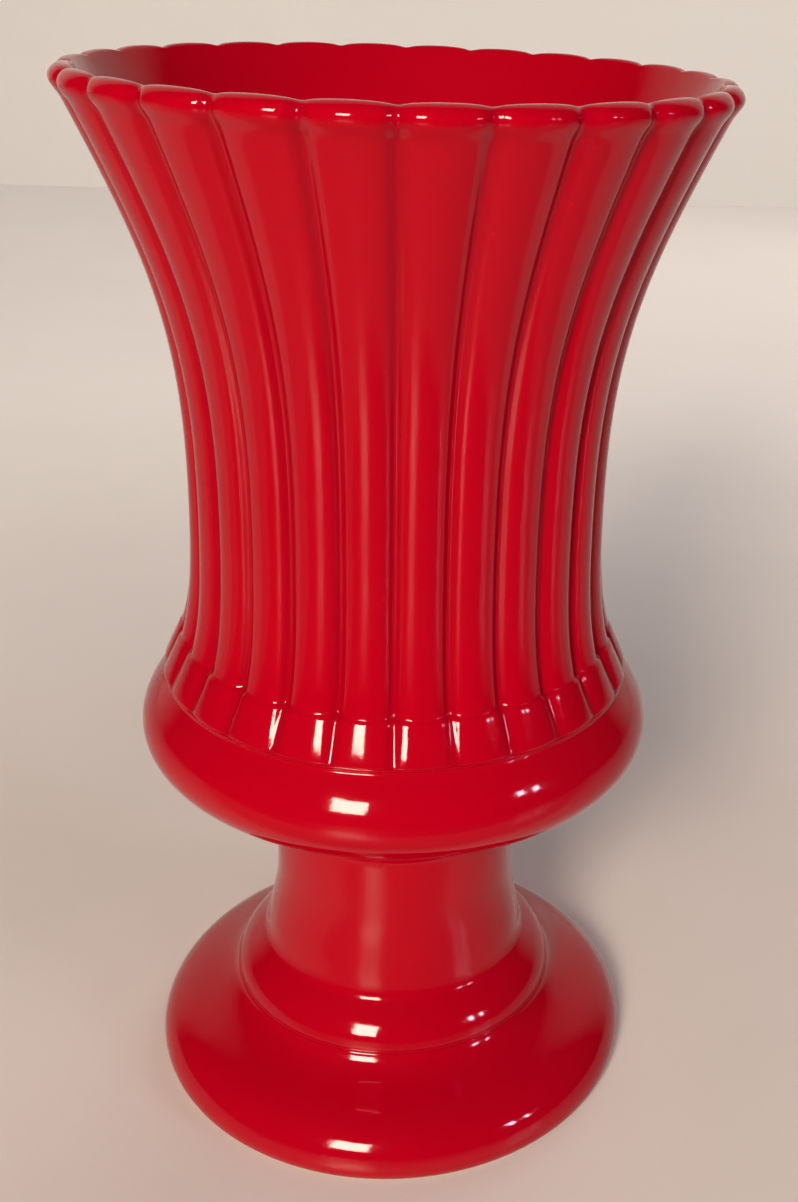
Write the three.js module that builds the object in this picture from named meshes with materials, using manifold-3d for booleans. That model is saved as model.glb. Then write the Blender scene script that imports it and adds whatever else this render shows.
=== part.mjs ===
// Red earthenware vase: a fluted trumpet bell on a round bulb, a stem with a rounded tier, and a foot.
// Millimetres, +Z up, origin on the table under the middle of the foot.
// Each section is turned about the axis, flat at its seams, and a thin ring of slip lies in each seam.
import * as THREE from "three";
import { mergeVertices } from "three/addons/utils/BufferGeometryUtils.js";
import Module from "manifold-3d";

const wasm = await Module();
wasm.setup();

// Clay and joints
const wall = 6;
const slipThickness = 0.8;
const slipSetback = 1;
const collarClearance = 0.5;
const collarWall = 3;
const collarDepth = 4;

// Foot: a hollow cone that stands on a flat ring
const footHeight = 26.2;
const footRadius = 76.2;
const footEdgeHeight = 3.4;
const footUndercut = 1.4;
const footRingWidth = 6;
const footShoulderRadius = 66;
const footShoulderHeight = 14.8;

// Stem with the tier at its lower end
const stemHeight = 60.8;
const stemTopRadius = 37.4;
const stemWaistHeight = 39;
const stemRootRadius = 40.7;
const stemRootHeight = 17.6;
const tierRadius = 51.4;
const tierEdgeRadius = 49.2;
const tierEdgeHeight = 5;
const tierTopRadius = 43;
const tierTopHeight = 11;

// Bulb with the floor that holds the water
const bulbHeight = 47.3;
const bulbFootRadius = 38.5;
const bulbRadius = 76.3;
const bulbWidestHeight = 31.6;
const bulbUndersideRadius = 58.4;
const bulbUndersideHeight = 15.9;
const bulbMouthRadius = 68.2;
const floorThickness = 7;

// Fluted bell
const bellHeight = 168.3;
const bandRadius = 69.2;
const bandHeight = 11.7;
const bandEndRounding = 0.9;
const creaseRadius = 63.9;
const waistRadius = 59.7;
const waistHeight = 59.3;
const rimRadius = 87.4;
const lipDrop = 3.7;
const lipTopSetback = 3.1;
const lipInnerRounding = 1.2;

// Flutes
const fluteCount = 26;
const fluteDepth = 3.3;
const bandFluteDepth = 1.2;
const fluteSharpness = 2.8;
const fluteRimDip = 1;
const fluteRimReach = 12;
const firstValleyTurn = THREE.MathUtils.degToRad(-0.7);

// Facets
const stepsPerFlute = 6;
const roundSteps = 52;
const cutMargin = 2;

const glazeRed = new THREE.MeshStandardMaterial({ color: "#b4040f", roughness: 0.12, metalness: 0 });
const glazeDeepRed = new THREE.MeshStandardMaterial({ color: "#a3030d", roughness: 0.14, metalness: 0 });
const slipRed = new THREE.MeshStandardMaterial({ color: "#8a0a10", roughness: 0.3, metalness: 0 });

// Helpers: a profile is a list of points, radius in x and height in y, from the axis back to the axis

function point(radius, height) {
  return new THREE.Vector2(radius, height);
}

// A curve from one point to another; each handle is a shift from its own end.
function bend(from, fromHandle, toHandle, to, steps) {
  const first = from.clone().add(fromHandle);
  const second = to.clone().add(toHandle);
  return new THREE.CubicBezierCurve(from, first, second, to).getPoints(steps);
}

// The points moved sideways off their line, into the clay of a wall that rises with its outside on the right.
function inset(points, distance) {
  return points.map((here, i) => {
    const before = points[Math.max(i - 1, 0)];
    const after = points[Math.min(i + 1, points.length - 1)];
    const along = after.clone().sub(before).normalize();
    return point(here.x - along.y * distance, here.y + along.x * distance);
  });
}

// The radius of a rising line of points at a height.
function radiusAt(points, height) {
  const above = points.findIndex((p) => p.y >= height);
  if (above < 1) return points.at(above).x;
  const low = points[above - 1];
  const high = points[above];
  return THREE.MathUtils.mapLinear(height, low.y, high.y, low.x, high.x);
}

// One closed solid turned from a profile; shape, if given, moves each vertex.
function turned(profile, steps, shape, startTurn = 0) {
  const lathe = new THREE.LatheGeometry(profile, steps, startTurn);
  lathe.rotateX(Math.PI / 2);
  lathe.deleteAttribute("normal");
  lathe.deleteAttribute("uv");
  if (shape) {
    const place = lathe.attributes.position;
    const vertex = new THREE.Vector3();
    for (let i = 0; i < place.count; i += 1) {
      vertex.fromBufferAttribute(place, i);
      shape(vertex, Math.floor(i / profile.length));
      place.setXYZ(i, vertex.x, vertex.y, vertex.z);
    }
  }
  const merged = mergeVertices(lathe, 1e-3);
  const corners = Array.from(merged.index.array);
  const triangles = [];
  for (let i = 0; i < corners.length; i += 3) {
    const [a, b, c] = corners.slice(i, i + 3);
    if (a !== b && b !== c && c !== a) triangles.push(a, b, c);
  }
  return new wasm.Manifold(new wasm.Mesh({
    numProp: 3,
    vertProperties: merged.attributes.position.array,
    triVerts: new Uint32Array(triangles),
  }));
}

function section(name, solid, material, base) {
  const made = solid.getMesh();
  const geometry = new THREE.BufferGeometry();
  geometry.setAttribute("position", new THREE.BufferAttribute(made.vertProperties, made.numProp));
  geometry.setIndex(new THREE.BufferAttribute(made.triVerts, 1));
  geometry.computeVertexNormals();
  const mesh = new THREE.Mesh(geometry, material);
  mesh.name = name;
  mesh.position.z = base;
  return mesh;
}

// Seam radii: each seat is as wide as the wall, and its collar stands just inside it
function collarOf(seatOuterRadius) {
  const hole = seatOuterRadius - wall;
  const outer = hole - collarClearance;
  return { hole, outer, inner: outer - collarWall };
}

const footSeam = collarOf(tierRadius);
const stemSeam = collarOf(stemTopRadius);
const bellSeam = collarOf(bulbMouthRadius);

// Foot

function makeFoot() {
  const ring = point(footRadius - footUndercut, 0);
  const edge = point(footRadius, footEdgeHeight);
  const shoulder = point(footShoulderRadius, footShoulderHeight);
  const top = point(tierRadius, footHeight);
  const outside = [
    point(0, 0),
    ...bend(ring, point(0.9, 0), point(0, -2), edge, 3),
    ...bend(edge, point(0, 6.8), point(4.5, -3.2), shoulder, 6).slice(1),
    ...bend(shoulder, point(-4.4, 3.2), point(3.6, -4.6), top, 4).slice(1),
    point(footSeam.outer, footHeight),
    point(footSeam.outer, footHeight + collarDepth),
    point(0, footHeight + collarDepth),
  ];
  const mouth = point(footRadius - footUndercut - footRingWidth, 0);
  const throat = point(footSeam.inner, footHeight - wall);
  const inside = [
    point(0, -cutMargin),
    point(mouth.x, -cutMargin),
    ...bend(mouth, point(0, 4.5), point(4, -4), throat, 6),
    point(footSeam.inner, footHeight + collarDepth + cutMargin),
    point(0, footHeight + collarDepth + cutMargin),
  ];
  return turned(outside, roundSteps).subtract(turned(inside, roundSteps));
}

// Stem and tier

function makeStem() {
  const seat = point(tierRadius, 0);
  const edge = point(tierEdgeRadius, tierEdgeHeight);
  const tierTop = point(tierTopRadius, tierTopHeight);
  const root = point(stemRootRadius, stemRootHeight);
  const waist = point(stemTopRadius, stemWaistHeight);
  const outside = [
    point(0, 0),
    ...bend(seat, point(-0.5, 1.9), point(1, -1.7), edge, 3),
    ...bend(edge, point(-1.6, 2.6), point(1.6, -1.6), tierTop, 4).slice(1),
    ...bend(tierTop, point(-1.4, 1.4), point(0.3, -2.6), root, 3).slice(1),
    ...bend(root, point(-0.9, 6), point(0, -8), waist, 4).slice(1),
    point(stemTopRadius, stemHeight),
    point(0, stemHeight),
  ];
  const tierRoom = point(footSeam.hole, collarDepth);
  const boreRoot = point(stemRootRadius - wall, stemRootHeight + 1);
  const boreTop = point(stemSeam.hole, stemWaistHeight);
  const inside = [
    point(0, -cutMargin),
    point(footSeam.hole, -cutMargin),
    ...bend(tierRoom, point(0, 1.2), point(0.6, -13), boreRoot, 6),
    ...bend(boreRoot, point(-1, 4), point(0, -6), boreTop, 3).slice(1),
    point(stemSeam.hole, stemHeight + cutMargin),
    point(0, stemHeight + cutMargin),
  ];
  return turned(outside, roundSteps).subtract(turned(inside, roundSteps));
}

// Bulb

function makeBulb() {
  const heel = point(bulbFootRadius, 0);
  const underside = point(bulbUndersideRadius, bulbUndersideHeight);
  const widest = point(bulbRadius, bulbWidestHeight);
  const mouth = point(bulbMouthRadius, bulbHeight);
  const skin = [
    ...bend(heel, point(1.5, 7), point(-9, -1.6), underside, 5),
    ...bend(underside, point(9.2, 1.9), point(0, -7.8), widest, 6).slice(1),
    ...bend(widest, point(0, 5.6), point(4, -4.7), mouth, 5).slice(1),
  ];
  const outside = [
    point(0, -collarDepth),
    point(stemSeam.outer, -collarDepth),
    point(stemSeam.outer, 0),
    ...skin,
    point(0, bulbHeight),
  ];
  const under = [
    point(0, -collarDepth - cutMargin),
    point(stemSeam.inner, -collarDepth - cutMargin),
    point(stemSeam.inner, 0),
    point(0, 0),
  ];
  const lining = inset(skin, wall);
  const room = lining.filter((p) => p.y > floorThickness + 1 && p.y < bulbHeight - collarDepth - 1);
  const inside = [
    point(0, floorThickness),
    point(radiusAt(lining, floorThickness + 1) - 2, floorThickness),
    ...room,
    point(bellSeam.hole, bulbHeight - collarDepth),
    point(bellSeam.hole, bulbHeight + cutMargin),
    point(0, bulbHeight + cutMargin),
  ];
  return turned(outside, roundSteps)
    .subtract(turned(under, roundSteps))
    .subtract(turned(inside, roundSteps));
}

// Bell

function makeBell() {
  const bandStart = point(bandRadius - bandEndRounding, 0);
  const bandFace = point(bandRadius, bandEndRounding);
  const crease = point(creaseRadius, bandHeight);
  const waist = point(waistRadius, waistHeight);
  const rim = point(rimRadius, bellHeight - lipDrop);
  const lipTop = point(rimRadius - lipTopSetback, bellHeight);
  const flare = [
    ...bend(crease, point(-3.3, 10.5), point(0, -24), waist, 4),
    ...bend(waist, point(0, 43.5), point(-19.5, -38.5), rim, 8).slice(1),
  ];
  const outside = [
    point(0, -collarDepth),
    point(bellSeam.outer, -collarDepth),
    point(bellSeam.outer, 0),
    ...bend(bandStart, point(0.5, 0), point(0.2, -0.4), bandFace, 2),
    ...bend(bandFace, point(-1.5, 3.5), point(1.7, -3.5), crease, 2).slice(1),
    ...flare.slice(1),
    ...bend(rim, point(0.9, 1.9), point(1.8, 0), lipTop, 3).slice(1),
    point(0, bellHeight),
  ];
  const lining = inset(flare, wall);
  const lipInside = point(radiusAt(lining, bellHeight - lipInnerRounding), bellHeight - lipInnerRounding);
  const lipInsideTop = point(lipInside.x + lipInnerRounding, bellHeight);
  const inside = [
    point(0, -collarDepth - cutMargin),
    point(bellSeam.inner, -collarDepth - cutMargin),
    point(bellSeam.inner, 0),
    ...lining.filter((p) => p.y < lipInside.y - 1),
    ...bend(lipInside, point(0.2, 0.6), point(-0.6, -0.1), lipInsideTop, 2),
    point(lipInsideTop.x, bellHeight + cutMargin),
    point(0, bellHeight + cutMargin),
  ];
  const innerLine = [point(bellSeam.outer, 0), ...lining];

  // A groove runs up each valley, shallow on the band, gone at the lining, and it dips the rim.
  function flute(vertex, turn) {
    const radius = Math.hypot(vertex.x, vertex.y);
    if (radius <= bellSeam.outer && vertex.z <= 0) return;
    const across = ((turn % stepsPerFlute) / stepsPerFlute) * 2 - 1;
    const groove = Math.abs(across) ** fluteSharpness;
    const clay = radius - radiusAt(innerLine, Math.min(vertex.z, lining.at(-1).y));
    const share = THREE.MathUtils.clamp(clay / wall, 0, 1);
    const up = THREE.MathUtils.clamp(vertex.z / bandHeight, 0, 1);
    const depth = THREE.MathUtils.lerp(bandFluteDepth, fluteDepth, up);
    const shrunk = (radius - depth * groove * share) / Math.max(radius, 1e-9);
    vertex.x *= shrunk;
    vertex.y *= shrunk;
    const nearRim = THREE.MathUtils.smoothstep(vertex.z, bellHeight - fluteRimReach, bellHeight);
    vertex.z -= fluteRimDip * groove * share * nearRim;
  }

  const steps = fluteCount * stepsPerFlute;
  return turned(outside, steps, flute, firstValleyTurn).subtract(turned(inside, roundSteps));
}

// A flat ring of slip from a seam's hole to a little inside its outer edge.
function makeSlip(seam, outerRadius) {
  const disc = turned([
    point(0, 0),
    point(outerRadius, 0),
    point(outerRadius, slipThickness),
    point(0, slipThickness),
  ], roundSteps);
  const hole = turned([
    point(0, -cutMargin),
    point(seam.hole, -cutMargin),
    point(seam.hole, slipThickness + cutMargin),
    point(0, slipThickness + cutMargin),
  ], roundSteps);
  return disc.subtract(hole);
}

// The stack, from the table up
const footSlipBase = footHeight;
const stemBase = footSlipBase + slipThickness;
const stemSlipBase = stemBase + stemHeight;
const bulbBase = stemSlipBase + slipThickness;
const bellSlipBase = bulbBase + bulbHeight;
const bellBase = bellSlipBase + slipThickness;

const vase = new THREE.Group();
vase.name = "red_fluted_vase";
vase.add(
  section("foot", makeFoot(), glazeDeepRed, 0),
  section("luting_slip_foot", makeSlip(footSeam, tierRadius - slipSetback), slipRed, footSlipBase),
  section("stem", makeStem(), glazeDeepRed, stemBase),
  section("luting_slip_stem", makeSlip(stemSeam, stemTopRadius - slipSetback), slipRed, stemSlipBase),
  section("bulb_body", makeBulb(), glazeRed, bulbBase),
  section("luting_slip_bell", makeSlip(bellSeam, bulbMouthRadius - slipSetback), slipRed, bellSlipBase),
  section("fluted_bell", makeBell(), glazeRed, bellBase),
);

export default vase;
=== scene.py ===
import math

import bmesh
import bpy
from mathutils import Matrix, Vector


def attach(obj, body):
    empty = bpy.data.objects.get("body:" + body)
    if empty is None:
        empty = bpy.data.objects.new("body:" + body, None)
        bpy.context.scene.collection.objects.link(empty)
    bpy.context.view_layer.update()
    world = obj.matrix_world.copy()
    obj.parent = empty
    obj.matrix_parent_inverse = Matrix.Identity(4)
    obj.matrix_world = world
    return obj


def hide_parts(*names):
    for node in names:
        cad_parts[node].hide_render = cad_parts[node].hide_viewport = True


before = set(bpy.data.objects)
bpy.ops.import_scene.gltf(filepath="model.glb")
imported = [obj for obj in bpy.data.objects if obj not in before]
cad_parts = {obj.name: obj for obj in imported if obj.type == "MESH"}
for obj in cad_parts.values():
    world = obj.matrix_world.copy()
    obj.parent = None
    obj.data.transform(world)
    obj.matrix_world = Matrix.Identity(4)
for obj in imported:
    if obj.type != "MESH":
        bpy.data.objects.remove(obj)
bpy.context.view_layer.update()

# Red glazed vase: a fluted bell on a bulb, a stem with a tier, and a hollow foot.
# Its sizes are in millimetres and become metres as the rings are drawn. Stage and lamps are in metres.
MM = 0.001


# Camera, at the photograph's viewing angle

PHOTO_WIDTH = 798
PHOTO_HEIGHT = 1202
SENSOR = 36.0
CAMERA_PLACE = Vector((0.0, -400.3, 336.8)) * MM
CAMERA_YAW = math.radians(4.596)
CAMERA_DIP = math.radians(24.408)
CAMERA_ROLL = math.radians(2.460)
FOCAL_PIXELS = 1465.8
AXIS_PIXEL_X = 504.65


def place_camera():
    bpy.ops.object.camera_add(location=CAMERA_PLACE)
    camera = bpy.context.active_object
    camera.name = "photo_camera"
    ahead = Vector((
        math.sin(CAMERA_YAW) * math.cos(CAMERA_DIP),
        math.cos(CAMERA_YAW) * math.cos(CAMERA_DIP),
        -math.sin(CAMERA_DIP),
    ))
    level_right = Vector((math.cos(CAMERA_YAW), -math.sin(CAMERA_YAW), 0.0))
    level_up = level_right.cross(ahead)
    right = level_right * math.cos(CAMERA_ROLL) + level_up * math.sin(CAMERA_ROLL)
    up = level_up * math.cos(CAMERA_ROLL) - level_right * math.sin(CAMERA_ROLL)
    turn = Matrix((right, up, -ahead)).transposed()
    camera.rotation_euler = turn.to_euler()
    camera.data.sensor_width = SENSOR
    camera.data.lens = FOCAL_PIXELS / PHOTO_HEIGHT * SENSOR
    camera.data.shift_x = (PHOTO_WIDTH / 2 - AXIS_PIXEL_X) / PHOTO_HEIGHT
    camera.data.clip_start = 0.01
    camera.data.clip_end = 50.0
    bpy.context.scene.camera = camera


place_camera()


# Sizes of the vase

FOOT_TOP = 26.2
STEM_BASE = 27.0
STEM_TOP = 87.8
BULB_BASE = 88.6
BULB_TOP = 135.9
BELL_BASE = 136.7
RIM_TOP = 305.0

FLUTES = 26
FLUTE_DEPTH = 3.3
ROUNDNESS = 0.6
VALLEY_SHARPNESS = 8.0
STEPS_PER_FLUTE = 12
FIRST_VALLEY = math.radians(-0.7)
ROUND_SIDES = 144


# Rings: each piece is one ring drawn along its wall, over the edges and back to its start

def bend(start, start_pull, end_pull, end, steps):
    """Points of a curve; each pull is a shift from its own end. The first point is left out."""
    corners = [
        Vector(start),
        Vector(start) + Vector(start_pull),
        Vector(end) + Vector(end_pull),
        Vector(end),
    ]
    points = []
    for step in range(1, steps + 1):
        t = step / steps
        s = 1 - t
        shares = (s**3, 3 * s * s * t, 3 * s * t * t, t**3)
        points.append(sum((c * k for c, k in zip(corners, shares)), Vector((0, 0))))
    return [(p.x, p.y) for p in points]


def even(points, depth=0.0, dip=0.0, roundness=ROUNDNESS):
    """Gives each point of an outline the same flute depth, dip and roundness."""
    return [(radius, height, depth, dip, roundness) for radius, height in points]


def fading(points, first, last):
    """Fades the flute depth, dip and roundness from one end of a stretch to the other."""
    faded = []
    for step, (radius, height) in enumerate(points, 1):
        t = step / len(points)
        shape = [a + (b - a) * t for a, b in zip(first, last)]
        faded.append((radius, height, *shape))
    return faded


def groove_share(step, roundness):
    """How far down its valley a point across a flute lies: 0 on the crest, 1 at the bottom."""
    half = STEPS_PER_FLUTE / 2
    across = abs(step - half) / half
    return roundness * across**2 + (1 - roundness) * across**VALLEY_SHARPNESS


def steps_across(vertices):
    """Groups the vertices of a fluted ring by their place across a flute."""
    groups = {}
    flute_turn = 2 * math.pi / FLUTES
    for vertex in vertices:
        turn = math.atan2(vertex.co.x, -vertex.co.y) - FIRST_VALLEY
        step = round(turn / flute_turn * STEPS_PER_FLUTE) % STEPS_PER_FLUTE
        groups.setdefault(min(step, STEPS_PER_FLUTE - step), []).append(vertex)
    return groups


def select_only(mesh, edit, vertices):
    for vertex in edit.verts:
        vertex.select = False
    for vertex in vertices:
        vertex.select = True
    edit.select_flush_mode()
    bmesh.update_edit_mesh(mesh, loop_triangles=False, destructive=False)


def move_ring(mesh, edit, ring, before, after, fluted):
    """Takes the selected ring from one point of the outline to the next."""
    radius_from, height_from, depth_from, dip_from, roundness_from = before
    radius_to, height_to, depth_to, dip_to, roundness_to = after
    if not fluted:
        grow = radius_to / radius_from
        bpy.ops.transform.resize(value=(grow, grow, 1), center_override=(0, 0, 0))
        bpy.ops.transform.translate(value=(0, 0, (height_to - height_from) * MM))
        return
    for step, vertices in steps_across(ring).items():
        share_from = groove_share(step, roundness_from)
        share_to = groove_share(step, roundness_to)
        grow = (radius_to - depth_to * share_to) / (radius_from - depth_from * share_from)
        rise = height_to - height_from - dip_to * share_to + dip_from * share_from
        select_only(mesh, edit, vertices)
        bpy.ops.transform.resize(value=(grow, grow, 1), center_override=(0, 0, 0))
        bpy.ops.transform.translate(value=(0, 0, rise * MM))
    select_only(mesh, edit, ring)


def draw_ring(name, sides, outline, fluted=False, smooth_levels=1):
    """Makes one closed wall from an outline of radius, height, flute depth, dip and roundness."""
    first = outline[0]
    radius, height, _, _, roundness = first
    bpy.ops.object.select_all(action="DESELECT")
    bpy.ops.mesh.primitive_circle_add(
        vertices=sides,
        radius=radius * MM,
        location=(0, 0, height * MM),
        rotation=(0, 0, FIRST_VALLEY),
    )
    piece = bpy.context.active_object
    piece.name = name
    piece.data.name = name
    bpy.ops.object.transform_apply(location=True, rotation=True, scale=True)
    bpy.ops.object.mode_set(mode="EDIT")
    bpy.ops.mesh.select_mode(type="VERT")
    bpy.ops.mesh.select_all(action="SELECT")
    mesh = piece.data
    edit = bmesh.from_edit_mesh(mesh)
    ring = [v for v in edit.verts if v.select]
    if fluted:
        move_ring(mesh, edit, ring, (radius, height, 0.0, 0.0, roundness), first, fluted)
    before = first
    for after in outline[1:]:
        bpy.ops.mesh.extrude_region_move()
        edit = bmesh.from_edit_mesh(mesh)
        ring = [v for v in edit.verts if v.select]
        move_ring(mesh, edit, ring, before, after, fluted)
        before = after
    edit = bmesh.from_edit_mesh(mesh)
    edges = [v for v in edit.verts if v.is_boundary]
    select_only(mesh, edit, edges)
    bpy.ops.mesh.bridge_edge_loops()
    bpy.ops.mesh.select_all(action="SELECT")
    bpy.ops.mesh.remove_doubles(threshold=1e-6)
    bpy.ops.mesh.normals_make_consistent(inside=False)
    bpy.ops.object.mode_set(mode="OBJECT")
    if smooth_levels:
        bpy.ops.object.modifier_add(type="SUBSURF")
        piece.modifiers[-1].levels = smooth_levels
        piece.modifiers[-1].render_levels = smooth_levels
        bpy.ops.object.modifier_apply(modifier=piece.modifiers[-1].name)
    bpy.ops.object.shade_smooth()
    return piece


# Foot: flat bare ring, edge, shoulder, cone, seat and collar, then the hollow inside

def foot_outline():
    ring_outer = (74.8, 0.0)
    edge = (76.2, 3.4)
    shoulder = (68.0, 15.4)
    top = (51.7, 25.2)
    collar_outer = 44.9
    collar_inner = 41.9
    mouth = (68.8, 0.0)
    throat = (collar_inner, 20.2)
    outline = [(69.4, 0.0), (71.5, 0.0), (74.2, 0.0), ring_outer]
    outline += bend(ring_outer, (0.7, 0.1), (0, -1.8), edge, 5)
    outline += bend(edge, (0, 4.8), (4.6, -2.7), shoulder, 10)
    outline += bend(shoulder, (-5.2, 3.05), (2.2, -4.4), top, 9)
    outline += bend(top, (-0.2, 0.4), (0.2, -0.3), (51.2, 26.1), 3)
    outline += [(51.1, FOOT_TOP), (50.8, FOOT_TOP)]
    outline += [(48.0, FOOT_TOP), (45.3, FOOT_TOP), (collar_outer, 26.5), (collar_outer, 29.8)]
    outline += [(44.5, 30.2), (42.3, 30.2), (collar_inner, 29.8), (collar_inner, 25.0), throat]
    outline += bend(throat, (4, -4), (0, 4.5), mouth, 10)
    return even(outline)


# Stem: seat, tier with its rounded edge, fillet, shank and the spread under the bulb, then the bore

def stem_outline():
    seat_outer = (50.9, STEM_BASE)
    tier_face = (50.9, 27.9)
    tier_edge = (49.3, 31.8)
    tier_top = (42.8, 38.9)
    root = (40.7, 44.6)
    shank_radius = 37.4
    bore_radius = 31.4
    shank = (shank_radius, 66.0)
    spread = (shank_radius, 84.2)
    hole = 45.4
    bore_root = (34.7, 45.6)
    outline = [(48.0, STEM_BASE), (50.6, STEM_BASE), seat_outer, (50.95, 27.15), tier_face]
    outline += bend(tier_face, (-0.5, 1.6), (1.1, -1.7), tier_edge, 5)
    outline += bend(tier_edge, (-2.2, 3.4), (2.2, -2.2), tier_top, 8)
    outline += bend(tier_top, (-1.1, 1.0), (0.3, -2.6), root, 6)
    outline += bend(root, (-0.9, 6), (0, -8), shank, 6)
    outline += [(shank_radius, 72.0), (shank_radius, 79.0), spread]
    outline += bend(spread, (0, 1.6), (-0.5, -1.0), (38.2, 87.5), 4)
    outline += [(38.3, 87.7), (38.3, STEM_TOP), (38.0, STEM_TOP), (35.0, STEM_TOP)]
    outline += [(31.8, STEM_TOP), (bore_radius, 87.4), (bore_radius, 72.0)]
    outline += bend((bore_radius, 72.0), (0, -10), (-1, 6), bore_root, 5)
    outline += bend(bore_root, (0.6, -13), (0, 1.2), (hole, 31.0), 7)
    outline += [(hole, 29.0), (hole, 27.4), (45.8, STEM_BASE)]
    return even(outline)


# Bulb: heel, flat underside, belly and mouth, the room for water, its floor and the collar below

def bulb_outline():
    heel = (39.0, 89.2)
    underside = (58.4, 104.5)
    widest = (76.3, 120.2)
    mouth = (68.95, 134.9)
    belly = (70.5, 120.3)
    slope_head = (58.0, 110.4)
    slope_foot = (36.0, 97.6)
    floor_top = 95.6
    floor_under = 88.8
    pinhole = 1.2
    collar_inner = 27.9
    collar_outer = 30.9
    outline = [(35.0, BULB_BASE), (38.4, BULB_BASE), (38.7, BULB_BASE), (38.75, 88.7), heel]
    outline += bend(heel, (1.6, 5.6), (-9.0, -1.6), underside, 9)
    outline += bend(underside, (9.2, 1.9), (0, -7.8), widest, 12)
    outline += bend(widest, (0, 5.6), (3.9, -4.6), mouth, 9)
    outline += bend(mouth, (-0.35, 0.4), (0, -0.4), (68.6, BULB_TOP), 3)
    outline += [(68.55, BULB_TOP), (68.2, BULB_TOP)]
    outline += [(65.0, BULB_TOP), (62.7, BULB_TOP), (62.2, 135.4)]
    outline += [(62.2, 133.2), (62.8, 131.9)]
    outline += bend((62.8, 131.9), (4.0, -3.0), (0, 4.6), belly, 6)
    outline += bend(belly, (0, -4.5), (5.0, 1.4), slope_head, 7)
    outline += bend(slope_head, (-9.0, -2.0), (2.0, 7.0), slope_foot, 8)
    outline += bend(slope_foot, (-0.8, -1.4), (2.0, 0), (32.0, floor_top), 3)
    outline += [(20.0, floor_top), (6.0, floor_top), (pinhole, floor_top)]
    outline += [(pinhole, floor_under), (6.0, floor_under), (20.0, floor_under)]
    outline += [(27.4, floor_under), (collar_inner, 88.3), (collar_inner, 85.0)]
    outline += [(28.3, 84.6), (30.5, 84.6), (collar_outer, 85.0)]
    outline += [(collar_outer, 88.2), (31.4, BULB_BASE)]
    return even(outline)


# Bell: seat, the band of tablets, the ledge above it, the flare, the lip, then the plain inside

BAND_END_GROOVE = (0.6, 0.0, 0.8)
BAND_GROOVE_LOW = (1.5, 0.0, 0.65)
BAND_GROOVE_HIGH = (2.2, 0.0, 0.5)
FULL_FLUTE = (FLUTE_DEPTH, 0.0, ROUNDNESS)
LIP_FLUTE = (3.2, 0.5, ROUNDNESS)
LIP_TOP_FLUTE = (1.8, 1.0, ROUNDNESS)
LIP_EDGE_FLUTE = (0.9, 1.0, ROUNDNESS)
INNER_LIP_FLUTE = (0.2, 0.6, ROUNDNESS)
NO_FLUTE = (0.0, 0.0, ROUNDNESS)


def bell_outline():
    band_start = (68.8, BELL_BASE)
    band_cove = (68.85, 136.75)
    band_foot = (69.25, 137.6)
    band_head = (64.7, 147.5)
    flare_start = (63.7, 148.8)
    waist = (59.7, 196.0)
    flare_end = (84.9, 296.4)
    rim = (87.9, 302.2)
    lip_top = (84.6, RIM_TOP)
    lip_edge = (83.4, RIM_TOP)
    inner_lip = (82.0, 303.6)
    mouth_wall = (79.4, 298.4)
    throat = (53.8, 190.0)
    collar_inner = 58.7
    collar_outer = 61.7
    outline = even([(64.5, BELL_BASE), (68.2, BELL_BASE), band_start, band_cove], *BAND_END_GROOVE)
    cove = bend(band_cove, (0.25, 0.1), (0.15, -0.35), band_foot, 3)
    outline += fading(cove, BAND_END_GROOVE, BAND_GROOVE_LOW)
    tablets = bend(band_foot, (-1.4, 3.3), (1.4, -3.1), band_head, 6)
    outline += fading(tablets, BAND_GROOVE_LOW, BAND_GROOVE_HIGH)
    ledge = bend(band_head, (-0.35, 0.6), (0.2, -0.5), flare_start, 4)
    outline += fading(ledge, BAND_GROOVE_HIGH, FULL_FLUTE)
    outline += even(bend(flare_start, (-3.2, 10.5), (0, -24), waist, 8), FLUTE_DEPTH)
    outline += even(bend(waist, (0, 43.5), (-17.0, -36.5), flare_end, 13), FLUTE_DEPTH)
    lip_side = bend(flare_end, (1.1, 2.4), (0.45, -1.9), rim, 6)
    outline += fading(lip_side, FULL_FLUTE, LIP_FLUTE)
    outline += fading(bend(rim, (-0.35, 1.45), (1.5, 0), lip_top, 6), LIP_FLUTE, LIP_TOP_FLUTE)
    outline += fading([(84.0, RIM_TOP), lip_edge], LIP_TOP_FLUTE, LIP_EDGE_FLUTE)
    lip_inside = bend(lip_edge, (-0.7, 0), (0.5, 0.9), inner_lip, 3)
    outline += fading(lip_inside, LIP_EDGE_FLUTE, INNER_LIP_FLUTE)
    below_lip = bend(inner_lip, (-1.0, -2.0), (1.5, 3.2), mouth_wall, 3)
    outline += fading(below_lip, INNER_LIP_FLUTE, NO_FLUTE)
    outline += even(bend(mouth_wall, (-17.0, -36.0), (0, 46), throat, 8))
    outline += even(bend(throat, (0, -14), (-2.2, 7), (57.7, 148.0), 4))
    outline += even([(58.5, 141.0), (collar_inner, BELL_BASE), (collar_inner, 133.2), (59.1, 132.7)])
    outline += even([(61.3, 132.7), (collar_outer, 133.1), (collar_outer, 136.4), (62.1, BELL_BASE)])
    return outline


# Slip: a flat ring in the seam, whose glazed edge runs from the section below to the one above

def slip_outline(hole, outer_low, outer_high, low, high):
    middle = ((outer_low + outer_high) / 2, (low + high) / 2)
    return even([
        (hole, low),
        (outer_low - 1.0, low),
        (outer_low, low),
        middle,
        (outer_high, high),
        (outer_high - 1.0, high),
        (hole, high),
    ])


# Materials

def shader(name, roughness):
    material = bpy.data.materials.new(name)
    material.use_nodes = True
    tree = material.node_tree
    skin = tree.nodes["Principled BSDF"]
    skin.inputs["Roughness"].default_value = roughness
    return material, tree, skin


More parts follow.
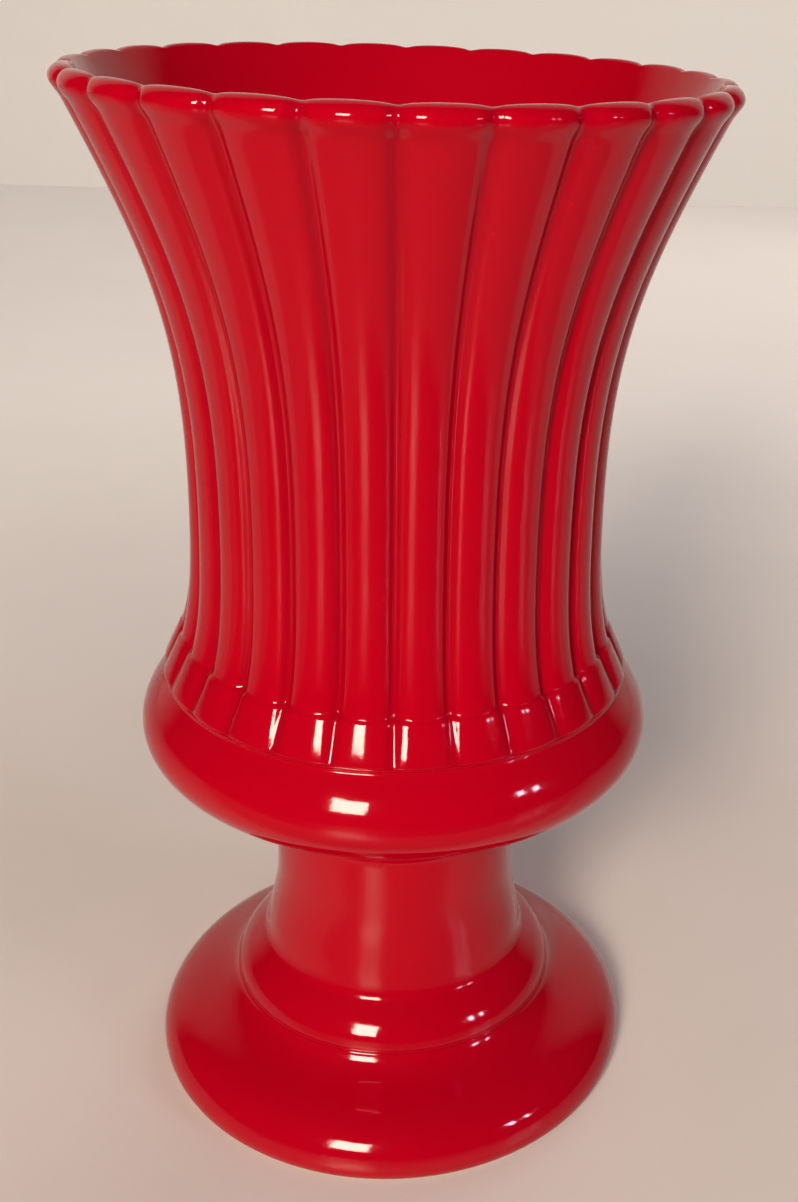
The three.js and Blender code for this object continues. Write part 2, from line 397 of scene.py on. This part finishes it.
def math_node(tree, operation, first, second=None, third=None):
    node = tree.nodes.new("ShaderNodeMath")
    node.operation = operation
    for socket, value in zip(node.inputs, (first, second, third)):
        if value is None:
            continue
        if isinstance(value, (int, float)):
            socket.default_value = value
        else:
            tree.links.new(value, socket)
    return node.outputs[0]


def ramp(tree, source, low, high, to_low=0.0, to_high=1.0):
    node = tree.nodes.new("ShaderNodeMapRange")
    node.interpolation_type = "SMOOTHSTEP"
    tree.links.new(source, node.inputs["Value"])
    node.inputs["From Min"].default_value = low
    node.inputs["From Max"].default_value = high
    node.inputs["To Min"].default_value = to_low
    node.inputs["To Max"].default_value = to_high
    return node.outputs["Result"]


def noise(tree, place, scale, detail=2.0, roughness=0.5):
    node = tree.nodes.new("ShaderNodeTexNoise")
    tree.links.new(place, node.inputs["Vector"])
    node.inputs["Scale"].default_value = scale
    node.inputs["Detail"].default_value = detail
    node.inputs["Roughness"].default_value = roughness
    return node.outputs["Fac"]


def mix(tree, share, first, second):
    node = tree.nodes.new("ShaderNodeMix")
    node.data_type = "RGBA"
    tree.links.new(share, node.inputs["Factor"])
    for socket, value in ((node.inputs[6], first), (node.inputs[7], second)):
        if isinstance(value, tuple):
            socket.default_value = (*value, 1.0)
        else:
            tree.links.new(value, socket)
    return node.outputs[2]


def place_on(tree):
    return tree.nodes.new("ShaderNodeTexCoord").outputs["Object"]


def valley_share(tree, place):
    """0 on the crest of a flute and 1 in its valley, from the turn about the axis."""
    split = tree.nodes.new("ShaderNodeSeparateXYZ")
    tree.links.new(place, split.inputs["Vector"])
    back = math_node(tree, "MULTIPLY", split.outputs["Y"], -1.0)
    turn = math_node(tree, "ARCTAN2", split.outputs["X"], back)
    per_turn = FLUTES / (2 * math.pi)
    flutes = math_node(tree, "MULTIPLY_ADD", turn, per_turn, -FIRST_VALLEY * per_turn)
    across = math_node(tree, "PINGPONG", flutes, 0.5)
    return ramp(tree, across, 0.0, 0.5, 1.0, 0.0)


def bump(tree, skin, heights):
    """Chains bumps of height fields; each is a source, a strength and a height in metres."""
    last = None
    for source, strength, distance in heights:
        node = tree.nodes.new("ShaderNodeBump")
        node.inputs["Strength"].default_value = strength
        node.inputs["Distance"].default_value = distance
        tree.links.new(source, node.inputs["Height"])
        if last:
            tree.links.new(last, node.inputs["Normal"])
        last = node.outputs["Normal"]
    tree.links.new(last, skin.inputs["Normal"])


GLAZE_FULL = (0.45, 0.0, 0.011)
GLAZE_DEEP = (0.35, 0.0, 0.010)
GLAZE_THIN = (0.70, 0.010, 0.008)
GLAZE_SPECULAR = 0.31
GLAZE_ROUGHNESS = (0.05, 0.09)
CLOUD_SHARE = 0.3
POOLED_SHARE = 0.55
FLECK_SHARE = 0.3
CLAY_PALE = (0.60, 0.40, 0.30)
CLAY_DARK = (0.44, 0.27, 0.20)
CLAY_ROUGHNESS = 0.85


def colour_of_the_flutes(tree, place, colour):
    """The glaze lies deep in the valleys, and thin, with a few flecks, on the sides above them."""
    valley = valley_share(tree, place)
    pooled = math_node(tree, "MULTIPLY", ramp(tree, valley, 0.72, 1.0), POOLED_SHARE)
    colour = mix(tree, pooled, colour, GLAZE_DEEP)
    rising = ramp(tree, valley, 0.45, 0.7)
    falling = ramp(tree, valley, 0.95, 0.75)
    thin = math_node(tree, "MULTIPLY", rising, falling)
    flecks = ramp(tree, noise(tree, place, 420.0, 2.0, 0.6), 0.66, 0.74)
    flecked = math_node(tree, "MULTIPLY", thin, flecks)
    return mix(tree, math_node(tree, "MULTIPLY", flecked, FLECK_SHARE), colour, GLAZE_THIN)


def make_glaze(name, fluted):
    material, tree, skin = shader(name, GLAZE_ROUGHNESS[1])
    skin.inputs["Specular IOR Level"].default_value = GLAZE_SPECULAR
    place = place_on(tree)
    clouds = ramp(tree, noise(tree, place, 9.0, 2.0), 0.3, 0.7, 0.0, CLOUD_SHARE)
    colour = mix(tree, clouds, GLAZE_FULL, GLAZE_DEEP)
    if fluted:
        colour = colour_of_the_flutes(tree, place, colour)
    tree.links.new(colour, skin.inputs["Base Color"])
    swell = noise(tree, place, 45.0, 1.0)
    peel = noise(tree, place, 260.0, 2.0)
    dust = ramp(tree, noise(tree, place, 1800.0, 1.0), 0.68, 0.8)
    bump(tree, skin, [(swell, 0.25, 0.0012), (peel, 0.10, 0.0003), (dust, 0.10, 0.00008)])
    rough = ramp(tree, noise(tree, place, 90.0, 3.0), 0.3, 0.8, *GLAZE_ROUGHNESS)
    tree.links.new(rough, skin.inputs["Roughness"])
    return material


def make_clay():
    material, tree, skin = shader("bare_clay", CLAY_ROUGHNESS)
    place = place_on(tree)
    grain = noise(tree, place, 900.0, 4.0, 0.7)
    colour = mix(tree, ramp(tree, grain, 0.35, 0.7), CLAY_PALE, CLAY_DARK)
    tree.links.new(colour, skin.inputs["Base Color"])
    bump(tree, skin, [(grain, 0.5, 0.0003)])
    return material


red_glaze = make_glaze("red_glaze_fluted", True)
plain_glaze = make_glaze("red_glaze_plain", False)
bare_clay = make_clay()


# The pieces, each in place of its CAD node

def finish_piece(piece, node, slot, *materials):
    piece.data.materials.clear()
    for material in materials:
        piece.data.materials.append(material)
    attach(piece, "root")
    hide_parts(node)


def bare_the_foot_ring(piece):
    """The flat ring that stands on the table, and a hair's breadth up its outer edge, have no glaze."""
    ring_thickness = 0.25 * MM
    edge_height = 0.7 * MM
    edge_radius = 74 * MM
    for face in piece.data.polygons:
        radius = math.hypot(face.center.x, face.center.y)
        under = face.center.z < ring_thickness and face.normal.z < -0.8
        edge = face.center.z < edge_height and radius > edge_radius
        face.material_index = 1 if under or edge else 0


def line_the_inside(piece):
    """The inside of the bell is plain, so it has the glaze without valleys."""
    for face in piece.data.polygons:
        inward = face.normal.x * face.center.x + face.normal.y * face.center.y < 0
        face.material_index = 1 if inward else 0


bell = draw_ring("fluted_bell_glazed", FLUTES * STEPS_PER_FLUTE, bell_outline(), fluted=True)
finish_piece(bell, "fluted_bell", "red_glaze", red_glaze, plain_glaze)
line_the_inside(bell)

bulb = draw_ring("bulb_body_glazed", ROUND_SIDES, bulb_outline())
finish_piece(bulb, "bulb_body", "red_glaze", plain_glaze)

stem = draw_ring("stem_glazed", ROUND_SIDES, stem_outline())
finish_piece(stem, "stem", "deep_red_glaze", plain_glaze)

foot = draw_ring("foot_glazed", ROUND_SIDES, foot_outline())
finish_piece(foot, "foot", "deep_red_glaze", plain_glaze, bare_clay)
bare_the_foot_ring(foot)

seams = {
    "luting_slip_foot": (45.4, 51.1, 50.9, FOOT_TOP, STEM_BASE),
    "luting_slip_stem": (31.4, 38.3, 38.7, STEM_TOP, BULB_BASE),
    "luting_slip_bell": (62.2, 68.6, 68.8, BULB_TOP, BELL_BASE),
}
for seam, sizes in seams.items():
    slip = draw_ring(seam + "_fillet", ROUND_SIDES, slip_outline(*sizes), smooth_levels=0)
    finish_piece(slip, seam, "slip", plain_glaze)


# Floor and wall behind, which are not part of the vase

FLOOR_COLOUR = (0.79, 0.735, 0.705)
FLOOR_DARKER = (0.76, 0.705, 0.675)
FLOOR_WIDTH = 6.0
# Painted glow: the floor glows through emission to the camera, more so away from the vase.
FLOOR_GLOW = 0.27
FLOOR_GLOW_SPAN = (0.1, 0.8)
TABLE_SHEEN = 0.28
TABLE_DULLER_SEEN = 0.5
WALL_COLOUR = (0.60, 0.58, 0.55)
WALL_DARKER = (0.57, 0.56, 0.54)
WALL_ROUGHNESS = 0.6
WALL_DISTANCE = 1.7
WALL_WIDTH = 7.6
WALL_SUNK = 0.1
# Painted glow: the wall glows through emission, to the camera more towards its ends, and to glossy rays
# in its middle.
WALL_MIRRORED_TO = 1.6
WALL_GLOW_GROWS_FROM = 0.8
WALL_GLOW = 0.32
WALL_END_GLOW = 1.55
GLOW_TINT = (1.0, 0.90, 0.79)
# Painted shade: the table and wall take this dark colour in glossy rays, so the glaze mirrors darkness
# there; the camera sees the table painted darker near the window.
PAINTED_ROOM_DARK = (0.015, 0.012, 0.014)
TABLE_SHADE_BY_WINDOW = (0.16, 0.15, 0.145)
WINDOW_SHADE_SHARE = 0.75
WINDOW_SHADE_FADE = (-1.6, -0.35)
STRIP_SHADE = 0.55
STRIP_FADE = (-0.12, -0.085)
TABLE_SHADE = 0.92
TABLE_FADE = (-0.35, -0.2)
MIRRORED_DARK_EDGE = (-0.61, -0.59)


def split_place(tree):
    split = tree.nodes.new("ShaderNodeSeparateXYZ")
    tree.links.new(place_on(tree), split.inputs["Vector"])
    return split


def paint_wall_glow(tree, skin):
    """Painted glow and painted shade: the wall glows to the camera, more towards its ends, and in its
    middle to glossy rays, so the glaze mirrors a bright wall; towards its sides glossy rays see it in
    the painted room dark.
    """
    rays = tree.nodes.new("ShaderNodeLightPath")
    sideways = math_node(tree, "ABSOLUTE", split_place(tree).outputs["X"])
    wall_end = WALL_WIDTH / 2
    middle = ramp(tree, sideways, WALL_MIRRORED_TO, wall_end, 1.0, 0.0)
    mirrored = math_node(tree, "MULTIPLY", rays.outputs["Is Glossy Ray"], middle)
    pale = ramp(tree, sideways, WALL_GLOW_GROWS_FROM, wall_end, 1.0, WALL_END_GLOW)
    seen = math_node(tree, "MULTIPLY", rays.outputs["Is Camera Ray"], pale)
    seen = math_node(tree, "MAXIMUM", seen, mirrored)
    glow = math_node(tree, "MULTIPLY", seen, WALL_GLOW)
    skin.inputs["Emission Color"].default_value = (*GLOW_TINT, 1.0)
    tree.links.new(glow, skin.inputs["Emission Strength"])
    colour = skin.inputs["Base Color"].links[0].from_socket
    # Painted shade: glossy rays see the wall's sides in the painted room dark.
    aside = math_node(tree, "SUBTRACT", 1.0, middle)
    aside = math_node(tree, "MULTIPLY", aside, rays.outputs["Is Glossy Ray"])
    tree.links.new(mix(tree, aside, colour, PAINTED_ROOM_DARK), skin.inputs["Base Color"])


def paint_floor_glow(tree, skin):
    """Painted glow: through emission the camera sees the floor paler away from the vase; its shadow
    stays.
    """
    away = tree.nodes.new("ShaderNodeVectorMath")
    away.operation = "LENGTH"
    tree.links.new(place_on(tree), away.inputs[0])
    share = ramp(tree, away.outputs["Value"], *FLOOR_GLOW_SPAN, 0.0, FLOOR_GLOW)
    seen = tree.nodes.new("ShaderNodeLightPath").outputs["Is Camera Ray"]
    skin.inputs["Emission Color"].default_value = (*GLOW_TINT, 1.0)
    tree.links.new(math_node(tree, "MULTIPLY", seen, share), skin.inputs["Emission Strength"])


def matt(name, colour, darker, scale, roughness, height):
    material, tree, skin = shader(name, roughness)
    place = place_on(tree)
    patches = ramp(tree, noise(tree, place, scale, 3.0), 0.35, 0.7)
    tree.links.new(mix(tree, patches, colour, darker), skin.inputs["Base Color"])
    bump(tree, skin, [(noise(tree, place, 300.0, 3.0), 0.3, height)])
    return material, tree, skin


def paint_table_shade(tree, skin):
    """Painted shade: in glossy rays, and so in the glaze, the table is darkened from just in front of
    the vase, more so towards its front, and painted room dark beyond, standing for the dark room.

    The camera sees the table painted darker where it lies close to the window.
    """
    forward = split_place(tree).outputs["Y"]
    rays = tree.nodes.new("ShaderNodeLightPath")
    mirrored = rays.outputs["Is Glossy Ray"]
    strip = ramp(tree, forward, *STRIP_FADE, STRIP_SHADE, 0.0)
    front = ramp(tree, forward, *TABLE_FADE, TABLE_SHADE, 0.0)
    shaded = math_node(tree, "MAXIMUM", strip, front)
    beyond = ramp(tree, forward, *MIRRORED_DARK_EDGE, 1.0, 0.0)
    window_shade = ramp(tree, forward, *WINDOW_SHADE_FADE, WINDOW_SHADE_SHARE, 0.0)
    window_shade = math_node(tree, "MULTIPLY", window_shade, rays.outputs["Is Camera Ray"])
    colour = skin.inputs["Base Color"].links[0].from_socket
    colour = mix(tree, window_shade, colour, TABLE_SHADE_BY_WINDOW)
    # Painted shade: glossy rays see the table darkened in front of the vase and dark beyond.
    colour = mix(tree, math_node(tree, "MULTIPLY", shaded, mirrored), colour, PAINTED_ROOM_DARK)
    colour = mix(tree, math_node(tree, "MULTIPLY", beyond, mirrored), colour, PAINTED_ROOM_DARK)
    tree.links.new(colour, skin.inputs["Base Color"])


def make_stage():
    bpy.ops.object.select_all(action="DESELECT")
    bpy.ops.mesh.primitive_plane_add(size=FLOOR_WIDTH, location=(0, 0, 0))
    floor = bpy.context.active_object
    floor.name = "stage_floor"
    table, tree, skin = matt("pale_table_painted_shade_and_glow", FLOOR_COLOUR, FLOOR_DARKER, 6.0, TABLE_SHEEN, 0.0002)
    seen = tree.nodes.new("ShaderNodeLightPath").outputs["Is Camera Ray"]
    dull = math_node(tree, "MULTIPLY_ADD", seen, TABLE_DULLER_SEEN, TABLE_SHEEN)
    tree.links.new(dull, skin.inputs["Roughness"])
    paint_table_shade(tree, skin)
    paint_floor_glow(tree, skin)
    floor.data.materials.append(table)
    bpy.ops.mesh.primitive_plane_add(
        size=WALL_WIDTH,
        location=(0, WALL_DISTANCE, WALL_WIDTH / 2 - WALL_SUNK),
        rotation=(math.radians(90), 0, 0),
    )
    wall = bpy.context.active_object
    wall.name = "stage_wall"
    plaster, tree, skin = matt("pale_wall_painted_glow", WALL_COLOUR, WALL_DARKER, 4.0, WALL_ROUGHNESS, 0.0006)
    paint_wall_glow(tree, skin)
    wall.data.materials.append(plaster)


make_stage()


# Lights

MIDDLE = Vector((0, 0, 0.15))


def add_area(name, place, width, height, power, colour):
    """A lamp that faces the middle of the vase."""
    bpy.ops.object.light_add(type="AREA", location=place)
    lamp = bpy.context.active_object
    lamp.name = name
    lamp.data.shape = "RECTANGLE"
    lamp.data.size = width
    lamp.data.size_y = height
    lamp.data.energy = power
    lamp.data.color = colour
    aim = MIDDLE - Vector(place)
    lamp.rotation_euler = aim.to_track_quat("-Z", "Y").to_euler()
    return lamp


def from_vase(azimuth, elevation, distance):
    """A place seen from the vase; azimuth runs from the front towards +X."""
    turn = math.radians(azimuth)
    rise = math.radians(elevation)
    return Vector((
        math.sin(turn) * math.cos(rise) * distance,
        -math.cos(turn) * math.cos(rise) * distance,
        math.sin(rise) * distance + MIDDLE.z,
    ))


def add_fill(name, place, width, power, colour):
    """A broad lamp that lights the vase softly and doesn't show as a pane in the glaze."""
    lamp = add_area(name, place, width, width, power, colour)
    lamp.visible_glossy = False
    lamp.visible_camera = False


WARM_DAYLIGHT = (1.0, 0.84, 0.68)
BLUE_DAYLIGHT = (0.80, 0.80, 1.0)
VIOLET_DAYLIGHT = (0.80, 0.78, 1.0)
CEILING_LIGHT = (0.94, 0.93, 1.0)
ROOM_GLOW = (1.0, 0.93, 0.88)

window_place = from_vase(azimuth=-20, elevation=25, distance=2.2)
far_left_place = from_vase(azimuth=55, elevation=19, distance=2.6)
far_right_place = from_vase(azimuth=63, elevation=17, distance=2.6)
behind = from_vase(azimuth=150, elevation=30, distance=1.7)
overhead = (-0.3, -1.0, 2.2)

add_area("window", window_place, width=0.56, height=0.62, power=47.5, colour=WARM_DAYLIGHT)
add_area("far_window_left", far_left_place, width=0.14, height=0.24, power=4.5, colour=BLUE_DAYLIGHT)
add_area("far_window_right", far_right_place, width=0.10, height=0.24, power=3.5, colour=VIOLET_DAYLIGHT)
add_fill("overhead_fill", overhead, width=2.0, power=5, colour=CEILING_LIGHT)
add_fill("back_fill", behind, width=1.2, power=7, colour=ROOM_GLOW)

ROOM_LIGHT = (0.076, 0.072, 0.078)
ROOM_MIRRORED = (0.022, 0.018, 0.024)
ROOM_SEEN = (0.60, 0.53, 0.47)


def make_room():
    """A dim room round the table, darker still in the glaze; only the camera sees it pale."""
    room = bpy.data.worlds.new("room")
    bpy.context.scene.world = room
    room.use_nodes = True
    tree = room.node_tree
    rays = tree.nodes.new("ShaderNodeLightPath")
    colour = mix(tree, rays.outputs["Is Glossy Ray"], ROOM_LIGHT, ROOM_MIRRORED)
    colour = mix(tree, rays.outputs["Is Camera Ray"], colour, ROOM_SEEN)
    tree.links.new(colour, tree.nodes["Background"].inputs["Color"])
    tree.nodes["Background"].inputs["Strength"].default_value = 1.0


make_room()

bpy.context.scene.view_settings.view_transform = "Standard"
